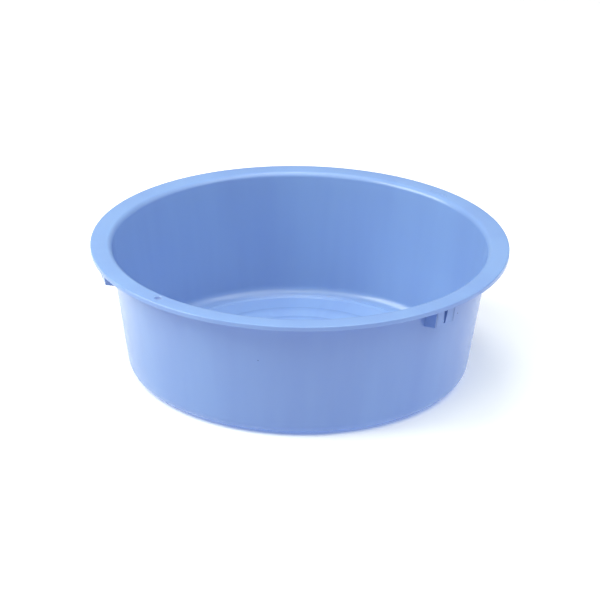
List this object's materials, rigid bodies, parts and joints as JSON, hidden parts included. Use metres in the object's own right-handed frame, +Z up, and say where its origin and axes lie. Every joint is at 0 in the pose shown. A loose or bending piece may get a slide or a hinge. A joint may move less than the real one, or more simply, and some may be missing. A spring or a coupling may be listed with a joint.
{
  "type": "wash basin",
  "caption": "Round moulded plastic wash basin with a flat turned-down rim, hanging hole, stacking lugs under the rim and a raised floor with ring ribs on a ring foot",
  "frame": {"origin": "on the bowl's axis, in the plane of the underside of the foot ring, which is the table surface", "axes": "+Z up along the bowl's axis; the hanging hole in the rim is on -Y and the raised size pips are on +Y"},
  "size_m": [0.3599, 0.36, 0.1153],
  "materials": {
    "basin_plastic": "satin injection-moulded polypropylene, light blue"
  },
  "bodies": {
    "root": {"floor_centre": "basin_plastic", "floor_ribbed_ring": "basin_plastic", "floor_border_ridge": "basin_plastic", "foot_ring": "basin_plastic", "side_wall": "basin_plastic", "rim_flange": "basin_plastic", "hanging_hole_eye": "basin_plastic", "rim_lip": "basin_plastic", "stacking_lug_1": "basin_plastic", "stacking_lug_2": "basin_plastic", "stacking_lug_3": "basin_plastic", "rim_size_pips": "basin_plastic"}
  },
  "joints": []
}
